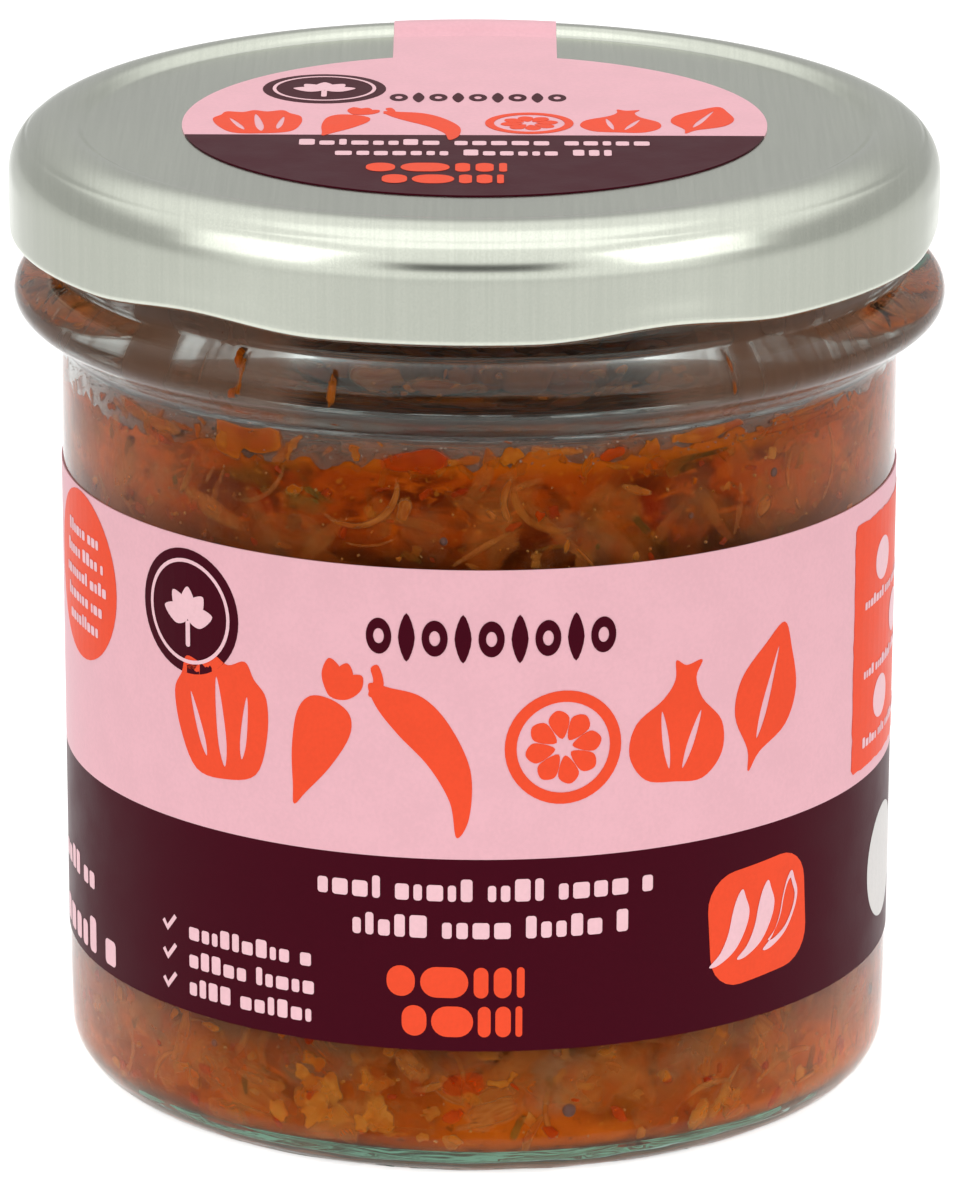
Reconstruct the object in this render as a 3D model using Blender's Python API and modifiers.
"""Kimchi in a clear glass jar with a twist-off lid and paper labels, at its real size.

Metres, +Z up. The jar stands on z = 0 with its axis on Z, and its label faces -Y.
"""

import math
import random

import bmesh
import bpy

MM = 0.001
GAP = 0.3
STEPS = 60

# The glass, in millimetres
BODY_TOP_R = 38.3
BODY_FOOT_R = 38.0
BODY_TOP_Z = 68.3
CORNER_WIDE = 2.9
CORNER_HIGH = 3.75
BEARING_INNER_R = 30.5
PUSH_UP_R = 27.0
PUSH_UP_EDGE_Z = 0.9
PUSH_UP_Z = 1.5
BORE_R = 35.5
FLOOR_EDGE_R = 32.7
FLOOR_EDGE_Z = 2.6
FLOOR_Z = 3.6
BEAD_R = 42.55
BEAD_Z = 73.2
BEAD_HANDLE = 2.4
NECK_R = 39.3
NECK_FOOT_Z = 77.0
NECK_FILLET = 0.7
BEAD_SLOPE_DEG = 20.0
RIM_SHOULDER_Z = 86.2
RIM_TOP_Z = 87.95

# The lid, in millimetres
LID_SHIFT_X = -0.5
LID_SHEET = 0.45
PANEL_R = 35.1
PANEL_Z = 88.03
CREST_R = 37.3
CREST_Z = 88.84
CREST_HANDLE = 1.2
SKIRT_R = 42.4
SHOULDER_Z = 84.0
SHOULDER_HANDLE_R = 2.3
SHOULDER_HANDLE_Z = 3.4
CURL_R = 0.75
CURL_TURN_DEG = 216.0
SKIRT_FOOT_Z = 78.5
LUG_COUNT = 6
LUG_FIRST_DEG = -66.0
LUG_HALF_DEG = 17.0
LUG_TOP_Z = 82.5
LUG_LIFT = 0.75
LUG_PRESS = 0.1
LUG_REACH = 0.5

# The labels, in millimetres
PAPER = 0.2
LABEL_FOOT_Z = 12.4
LABEL_TOP_Z = 57.3
LABEL_GAP_STEPS = 2
STICKER_R = 26.6
STRIP_WIDE = 15.4
STRIP_COLUMNS = 6
STRIP_FOOT_Z = 72.6

# The kimchi, in millimetres: its core, and the bands where shreds show round it and on it
CORE_R = 33.9
HEAP_FOOT_Z = 3.6
HEAP_TOP_Z = 65.2
CORE_STEPS = 48
SHRED_LIFT = 0.35
LOWER_BAND = {"middle": 9.2, "lowest": 6.6, "highest": 15.5, "count": 15}
UPPER_BAND = {"middle": 60.4, "lowest": 54.5, "highest": 63.8, "count": 17}
BAND_SCATTER = 1.5
BACK_HEIGHTS = (20.0, 33.5, 47.0)
BACK_LOWEST = 14.0
BACK_HIGHEST = 54.0
TOP_COUNT = 24
TOP_LIFT = 0.9
TOP_EDGE_GAP = 0.4
RANDOM_SEED = 8


def clear_scene():
    for old in list(bpy.data.objects):
        bpy.data.objects.remove(old, do_unlink=True)


def new_collection(name):
    made = bpy.data.collections.new(name)
    bpy.context.scene.collection.children.link(made)
    return made


def new_material(name, colour, roughness, metallic=0.0, transmission=0.0):
    made = bpy.data.materials.new(name)
    made.use_nodes = True
    shader = made.node_tree.nodes["Principled BSDF"]
    shader.inputs["Base Color"].default_value = (*colour, 1.0)
    shader.inputs["Roughness"].default_value = roughness
    shader.inputs["Metallic"].default_value = metallic
    shader.inputs["Transmission Weight"].default_value = transmission
    return made


def smoothstep(value):
    value = min(max(value, 0.0), 1.0)
    return value * value * (3.0 - 2.0 * value)


def ellipse_arc(centre, radii, start_deg, end_deg, segments):
    """Points (r, z) along an ellipse, both ends included."""
    points = []
    for index in range(segments + 1):
        angle = math.radians(start_deg + (end_deg - start_deg) * index / segments)
        points.append((centre[0] + radii[0] * math.cos(angle), centre[1] + radii[1] * math.sin(angle)))
    return points


def bezier(first, second, third, last, segments):
    """Points (r, z) along a cubic curve, both ends included."""
    points = []
    for index in range(segments + 1):
        t = index / segments
        weights = ((1 - t) ** 3, 3 * t * (1 - t) ** 2, 3 * t * t * (1 - t), t**3)
        corners = (first, second, third, last)
        r = sum(weight * corner[0] for weight, corner in zip(weights, corners))
        z = sum(weight * corner[1] for weight, corner in zip(weights, corners))
        points.append((r, z))
    return points


def line_object(name, outline, home):
    """An object whose mesh is one open line in the XZ plane, from (r, z) in millimetres."""
    mesh = bpy.data.meshes.new(name)
    verts = [(r * MM, 0.0, z * MM) for r, z in outline]
    mesh.from_pydata(verts, [(i, i + 1) for i in range(len(verts) - 1)], [])
    made = bpy.data.objects.new(name, mesh)
    home.objects.link(made)
    return made


def turn(made, steps, degrees=360.0):
    """Turns an object's line round Z."""
    screw = made.modifiers.new("turn", "SCREW")
    screw.axis = "Z"
    screw.angle = math.radians(degrees)
    screw.steps = steps
    screw.render_steps = steps
    screw.use_merge_vertices = degrees == 360.0
    screw.merge_threshold = 0.00001
    screw.use_smooth_shade = True


def thicken(made, thickness, side):
    """Gives a sheet its thickness: side 1 grows it outwards, and -1 inwards."""
    solidify = made.modifiers.new("sheet", "SOLIDIFY")
    solidify.thickness = thickness * MM
    solidify.offset = side
    solidify.use_even_offset = True


def apply_modifiers(made):
    """Puts the evaluated mesh in place of the object's own."""
    graph = bpy.context.evaluated_depsgraph_get()
    baked = bpy.data.meshes.new_from_object(made.evaluated_get(graph))
    made.modifiers.clear()
    made.data = baked


def body_r(z):
    """The body's outer radius at a height: it tapers a little towards the foot."""
    share = (z - CORNER_HIGH) / (BODY_TOP_Z - CORNER_HIGH)
    return BODY_FOOT_R + (BODY_TOP_R - BODY_FOOT_R) * share


def glass_outline():
    """From the floor's centre up the bore, over the rim, down the outside and back under the foot."""
    floor = [(0.0, FLOOR_Z), (FLOOR_EDGE_R, FLOOR_EDGE_Z)]
    corner_r = BORE_R - FLOOR_EDGE_R
    heel = ellipse_arc((FLOOR_EDGE_R, FLOOR_EDGE_Z + corner_r), (corner_r, corner_r), -60, 0, 3)
    rim_r = (BORE_R + NECK_R) / 2
    rim = ellipse_arc((rim_r, RIM_SHOULDER_Z), (NECK_R - rim_r, RIM_TOP_Z - RIM_SHOULDER_Z), 180, 0, 4)
    fillet_centre = (NECK_R + NECK_FILLET, NECK_FOOT_Z)
    fillet = ellipse_arc(fillet_centre, (NECK_FILLET, NECK_FILLET), 180, 270 - BEAD_SLOPE_DEG, 2)
    start_r, start_z = fillet[-1]
    slope = math.radians(BEAD_SLOPE_DEG)
    leaving = (start_r + BEAD_HANDLE / 2 * math.cos(slope), start_z - BEAD_HANDLE / 2 * math.sin(slope))
    bead_top = bezier(fillet[-1], leaving, (BEAD_R, BEAD_Z + BEAD_HANDLE / 1.5), (BEAD_R, BEAD_Z), 4)
    below_bead = (BEAD_R, BEAD_Z - BEAD_HANDLE)
    above_body = (BODY_TOP_R, BODY_TOP_Z + BEAD_HANDLE)
    bead_under = bezier((BEAD_R, BEAD_Z), below_bead, above_body, (BODY_TOP_R, BODY_TOP_Z), 4)
    foot_centre = (BODY_FOOT_R - CORNER_WIDE, CORNER_HIGH)
    foot = ellipse_arc(foot_centre, (CORNER_WIDE, CORNER_HIGH), 0, -90, 4)
    under = [(BEARING_INNER_R, 0.0), (PUSH_UP_R, PUSH_UP_EDGE_Z), (0.0, PUSH_UP_Z)]
    return floor + heel + rim + fillet + bead_top[1:] + bead_under[1:] + foot + under


def lid_outline():
    """The lid's outer face: flat panel, raised ring, shoulder, skirt, and the edge curled inwards."""
    crest = (CREST_R, CREST_Z)
    ring_foot = (PANEL_R, PANEL_Z)
    leaving_panel = (PANEL_R + CREST_HANDLE / 1.5, PANEL_Z)
    ring_in = bezier(ring_foot, leaving_panel, (CREST_R - CREST_HANDLE, CREST_Z), crest, 2)
    over_skirt = (SKIRT_R, SHOULDER_Z + SHOULDER_HANDLE_Z)
    shoulder = bezier(crest, (CREST_R + SHOULDER_HANDLE_R, CREST_Z), over_skirt, (SKIRT_R, SHOULDER_Z), 5)
    curl_centre = (SKIRT_R - CURL_R, SKIRT_FOOT_Z + CURL_R)
    curl = ellipse_arc(curl_centre, (CURL_R, CURL_R), 0, -CURL_TURN_DEG, 4)
    return [(0.0, PANEL_Z)] + ring_in + shoulder[1:] + [(SKIRT_R, LUG_TOP_Z)] + curl


def press_lugs(mesh):
    """Presses the skirt's lower edge in and up at six places, where the lugs hold the glass thread."""
    for vert in mesh.vertices:
        x, y, z = (value / MM for value in vert.co)
        if z > LUG_TOP_Z:
            continue
        r = math.hypot(x, y)
        angle = math.degrees(math.atan2(y, x)) - LUG_FIRST_DEG
        spacing = 360.0 / LUG_COUNT
        off_centre = abs((angle + spacing / 2) % spacing - spacing / 2)
        near = smoothstep(1.0 - off_centre / LUG_HALF_DEG)
        low = smoothstep((LUG_TOP_Z - z) / (LUG_TOP_Z - SKIRT_FOOT_Z - CURL_R))
        curled = min(max((SKIRT_R - r) / (2 * CURL_R), 0.0), 1.0)
        new_r = r - near * low * (LUG_PRESS + LUG_REACH * curled)
        vert.co = (x * new_r / r * MM, y * new_r / r * MM, (z + near * low * LUG_LIFT) * MM)


def build_glass(home):
    glass = line_object("jar_glass", glass_outline(), home)
    turn(glass, STEPS)
    glass.data.materials.append(new_material("clear_glass", (0.93, 0.97, 0.95), 0.03, transmission=1.0))


def build_lid(home):
    lid = line_object("lid", lid_outline(), home)
    turn(lid, STEPS)
    apply_modifiers(lid)
    press_lugs(lid.data)
    thicken(lid, LID_SHEET, -1)
    lid.location.x = LID_SHIFT_X * MM
    lid.data.materials.append(new_material("lacquered_tinplate", (0.58, 0.59, 0.53), 0.35, metallic=1.0))


def build_body_label(home):
    ends = [(body_r(z) + GAP, z) for z in (LABEL_TOP_Z, LABEL_FOOT_Z)]
    label = line_object("label_body", ends, home)
    covered = STEPS - LABEL_GAP_STEPS
    turn(label, covered, 360.0 * covered / STEPS)
    thicken(label, PAPER, 1)
    label.rotation_euler.z = math.radians(90.0 + 180.0 * LABEL_GAP_STEPS / STEPS)
    label.data.materials.append(new_material("printed_paper", (0.85, 0.48, 0.56), 0.45))


def strip_path():
    """(r, z) of the paper strip's inner face: along the panel, over the rim and down to the glass bead."""
    raised = [(r, z) for r, z in lid_outline() if r >= PANEL_R and z >= LUG_TOP_Z]
    path = [(PANEL_R - 0.5, PANEL_Z + GAP)]
    for before, here, after in zip(raised, raised[1:], raised[2:] + [(SKIRT_R, SKIRT_FOOT_Z)]):
        run = math.hypot(after[0] - before[0], after[1] - before[1])
        out_r = -(after[1] - before[1]) / run
        out_z = (after[0] - before[0]) / run
        path.append((here[0] + GAP * out_r, here[1] + GAP * out_z))
    return path + [(BEAD_R + GAP, BEAD_Z + 2.0), (BEAD_R + GAP, STRIP_FOOT_Z)]


def build_lid_label(home):
    """A round sticker with a strip that runs back over the rim and seals the lid to the glass."""
    path = strip_path()
    across = [STRIP_WIDE * (0.5 - i / STRIP_COLUMNS) for i in range(STRIP_COLUMNS + 1)]
    model = bmesh.new()
    outline = []
    for index in range(STEPS):
        angle = math.radians(90.0 + (index + 0.5) * 360.0 / STEPS)
        x, y = STICKER_R * math.cos(angle), STICKER_R * math.sin(angle)
        if y > 0 and abs(x) < STRIP_WIDE / 2:
            continue
        outline.append((x, y))
    join_y = math.sqrt(STICKER_R**2 - (STRIP_WIDE / 2) ** 2)
    outline = [(-STRIP_WIDE / 2, join_y)] + outline + [(STRIP_WIDE / 2, join_y)]
    edge_row = [(x, math.sqrt(path[0][0] ** 2 - x * x)) for x in across]
    flat = [model.verts.new((x * MM, y * MM, path[0][1] * MM)) for x, y in outline + edge_row]
    model.faces.new(flat)
    row = flat[len(outline):]
    for r, z in path[1:]:
        following = [model.verts.new((x * MM, math.sqrt(r * r - x * x) * MM, z * MM)) for x in across]
        for i in range(STRIP_COLUMNS):
            model.faces.new((row[i + 1], row[i], following[i], following[i + 1]))
        row = following
    mesh = bpy.data.meshes.new("label_lid")
    model.to_mesh(mesh)
    model.free()
    label = bpy.data.objects.new("label_lid", mesh)
    home.objects.link(label)
    label.location.x = LID_SHIFT_X * MM
    thicken(label, PAPER, 1)
    label.data.materials.append(new_material("sticker_paper", (0.85, 0.50, 0.58), 0.45))


def heap_outline():
    """The packed core of the kimchi, from its top's centre down its side and under it."""
    return [
        (0.0, HEAP_TOP_Z),
        (14.0, HEAP_TOP_Z + 0.8),
        (27.0, HEAP_TOP_Z - 0.2),
        (CORE_R - 1.2, HEAP_TOP_Z - 0.4),
        (CORE_R, HEAP_TOP_Z - 2.0),
        (CORE_R, 58.0),
        (CORE_R, 35.0),
        (CORE_R, 12.0),
        (CORE_R, HEAP_FOOT_Z + 2.2),
        (CORE_R - 2.0, HEAP_FOOT_Z),
        (0.0, HEAP_FOOT_Z + 0.6),
    ]


def lump(mesh):
    """Makes the core uneven, as packed cabbage is: up to half a millimetre in and out."""
    for vert in mesh.vertices:
        x, y, z = (value / MM for value in vert.co)
        angle = math.atan2(y, x)
        r = math.hypot(x, y)
        if r < 1.0:
            continue
        swell = 0.3 * math.sin(9 * angle + 0.35 * z) + 0.2 * math.sin(14 * angle - 0.5 * z)
        rise = 0.5 * math.sin(5 * angle + 0.2 * r) if z > HEAP_TOP_Z - 1.5 else 0.0
        vert.co = (x * (r + swell) / r * MM, y * (r + swell) / r * MM, (z + rise) * MM)


def strip_mesh(name, centres, sides, across, thick):
    """A strip of four-sided sections. sides are the directions across it, and thick its half thicknesses."""
    model = bmesh.new()
    rings = []
    for centre, side, half, depth in zip(centres, sides, across, thick):
        ring = []
        for sign_side, sign_depth in ((-1, -1), (1, -1), (1, 1), (-1, 1)):
            u = centre[0] + sign_side * side[0] * half
            v = centre[1] + sign_side * side[1] * half
            ring.append(model.verts.new((u, v, centre[2] + sign_depth * depth)))
        rings.append(ring)
    for ring, following in zip(rings, rings[1:]):
        for i in range(4):
            j = (i + 1) % 4
            model.faces.new((ring[i], ring[j], following[j], following[i]))
    model.faces.new(rings[0][::-1])
    model.faces.new(rings[-1])
    mesh = bpy.data.meshes.new(name)
    bmesh.ops.recalc_face_normals(model, faces=model.faces)
    model.to_mesh(mesh)
    model.free()
    return mesh


def shred(draw, name, kind):
    """One wavy shred, flat round its own middle: u along it, v across it and w out of the heap."""
    cabbage = kind == "cabbage"
    length = draw.uniform(11.0, 17.0) if cabbage else draw.uniform(9.0, 15.0)
    half = draw.uniform(2.0, 3.3) if cabbage else draw.uniform(0.6, 0.9)
    depth = 0.6 if cabbage else 0.7
    heading = draw.uniform(0.0, math.tau)
    bend = draw.uniform(-0.05, 0.05) if cabbage else draw.uniform(-0.12, 0.12)
    wave = draw.uniform(0.0, math.tau)
    segments = 6
    centres, sides, across, thick = [], [], [], []
    u, v = 0.0, 0.0
    step = length / segments
    for index in range(segments + 1):
        t = index / segments
        w = 0.22 * math.sin(wave + t * 7.0)
        centres.append((u, v, w))
        sides.append((-math.sin(heading), math.cos(heading)))
        taper = 0.45 + 0.55 * math.sin(math.pi * min(max(t, 0.08), 0.92))
        across.append(half * taper * (1 + 0.18 * math.sin(wave + 11.0 * t)))
        thick.append(depth)
        u += step * math.cos(heading)
        v += step * math.sin(heading)
        heading += bend * step
    middle = centres[segments // 2]
    centres = [(c[0] - middle[0], c[1] - middle[1], c[2]) for c in centres]
    return strip_mesh(name, centres, sides, across, thick)


def wrap_on_side(mesh, angle, z, lowest, highest):
    """Bends a flat shred round the core's side, its own v turned up, narrowed to fit between two heights."""
    rise = max(vert.co.y for vert in mesh.vertices)
    drop = -min(vert.co.y for vert in mesh.vertices)
    fit = min(1.0, (highest - z) / rise, (z - lowest) / drop)
    for vert in mesh.vertices:
        u, v, w = vert.co
        r = CORE_R + SHRED_LIFT + w
        here = angle + u / CORE_R
        vert.co = (r * math.cos(here) * MM, r * math.sin(here) * MM, (z + v * fit) * MM)


def lay_on_top(mesh, x, y, z):
    """Lays a flat shred on the heap's top, moved inwards until it is clear of the glass."""
    limit = CORE_R - TOP_EDGE_GAP
    for _ in range(4):
        reach = max(math.hypot(x + vert.co.x, y + vert.co.y) for vert in mesh.vertices)
        if reach > limit:
            r = math.hypot(x, y)
            x, y = x * (r + limit - reach) / r, y * (r + limit - reach) / r
    for vert in mesh.vertices:
        u, v, w = vert.co
        vert.co = ((x + u) * MM, (y + v) * MM, (z + 1.6 * w) * MM)


def build_kimchi(home):
    """A packed core with the shreds that show fused on: round both clear bands, at the back and on top."""
    draw = random.Random(RANDOM_SEED)
    core = line_object("kimchi", heap_outline(), home)
    turn(core, CORE_STEPS)
    apply_modifiers(core)
    lump(core.data)
    pieces = bpy.data.collections.new("kimchi_shreds")
    bpy.context.scene.collection.children.link(pieces)

    def add(mesh):
        pieces.objects.link(bpy.data.objects.new(mesh.name, mesh))

    for band in (LOWER_BAND, UPPER_BAND):
        for index in range(band["count"]):
            kind = "radish" if index % 3 == 2 else "cabbage"
            mesh = shred(draw, f"band_{index}", kind)
            angle = math.tau * (index + draw.uniform(-0.2, 0.2)) / band["count"]
            z = band["middle"] + draw.uniform(-BAND_SCATTER, BAND_SCATTER)
            wrap_on_side(mesh, angle, z, band["lowest"], band["highest"])
            add(mesh)
    for z in BACK_HEIGHTS:
        mesh = shred(draw, "back", "cabbage")
        wrap_on_side(mesh, math.pi / 2 + draw.uniform(-0.04, 0.04), z, BACK_LOWEST, BACK_HIGHEST)
        add(mesh)
    golden = math.pi * (3.0 - math.sqrt(5.0))
    for index in range(TOP_COUNT):
        kind = "radish" if index % 3 == 1 else "cabbage"
        mesh = shred(draw, "top", kind)
        r = (CORE_R - 4.0) * math.sqrt((index + 0.5) / TOP_COUNT)
        lay_on_top(mesh, r * math.cos(golden * index), r * math.sin(golden * index), HEAP_TOP_Z + TOP_LIFT)
        add(mesh)
    fuse(core, pieces)
    core.data.materials.append(new_material("kimchi", (0.32, 0.09, 0.03), 0.4))


def fuse(core, pieces):
    """Joins the shreds to the core, and keeps only the outer skin of the joined body."""
    union = core.modifiers.new("fuse", "BOOLEAN")
    union.operation = "UNION"
    union.operand_type = "COLLECTION"
    union.collection = pieces
    union.solver = "MANIFOLD"
    apply_modifiers(core)
    for piece in list(pieces.objects):
        bpy.data.objects.remove(piece, do_unlink=True)
    bpy.data.collections.remove(pieces)
    model = bmesh.new()
    model.from_mesh(core.data)
    unseen = set(model.faces)
    skins = []
    while unseen:
        skin = [unseen.pop()]
        for face in skin:
            for edge in face.edges:
                if len(edge.link_faces) > 2:
                    continue
                fresh = unseen.intersection(edge.link_faces)
                unseen -= fresh
                skin.extend(fresh)
        skins.append(skin)
    skins.sort(key=len)
    for skin in skins[:-1]:
        bmesh.ops.delete(model, geom=skin, context="FACES")
    model.to_mesh(core.data)
    model.free()


clear_scene()
jar = new_collection("kimchi_jar")
build_glass(jar)
build_kimchi(jar)
build_body_label(jar)
build_lid(jar)
build_lid_label(jar)
for solid in jar.objects:
    solid.data.shade_smooth()
    solid.data.set_sharp_from_angle(angle=math.radians(35))
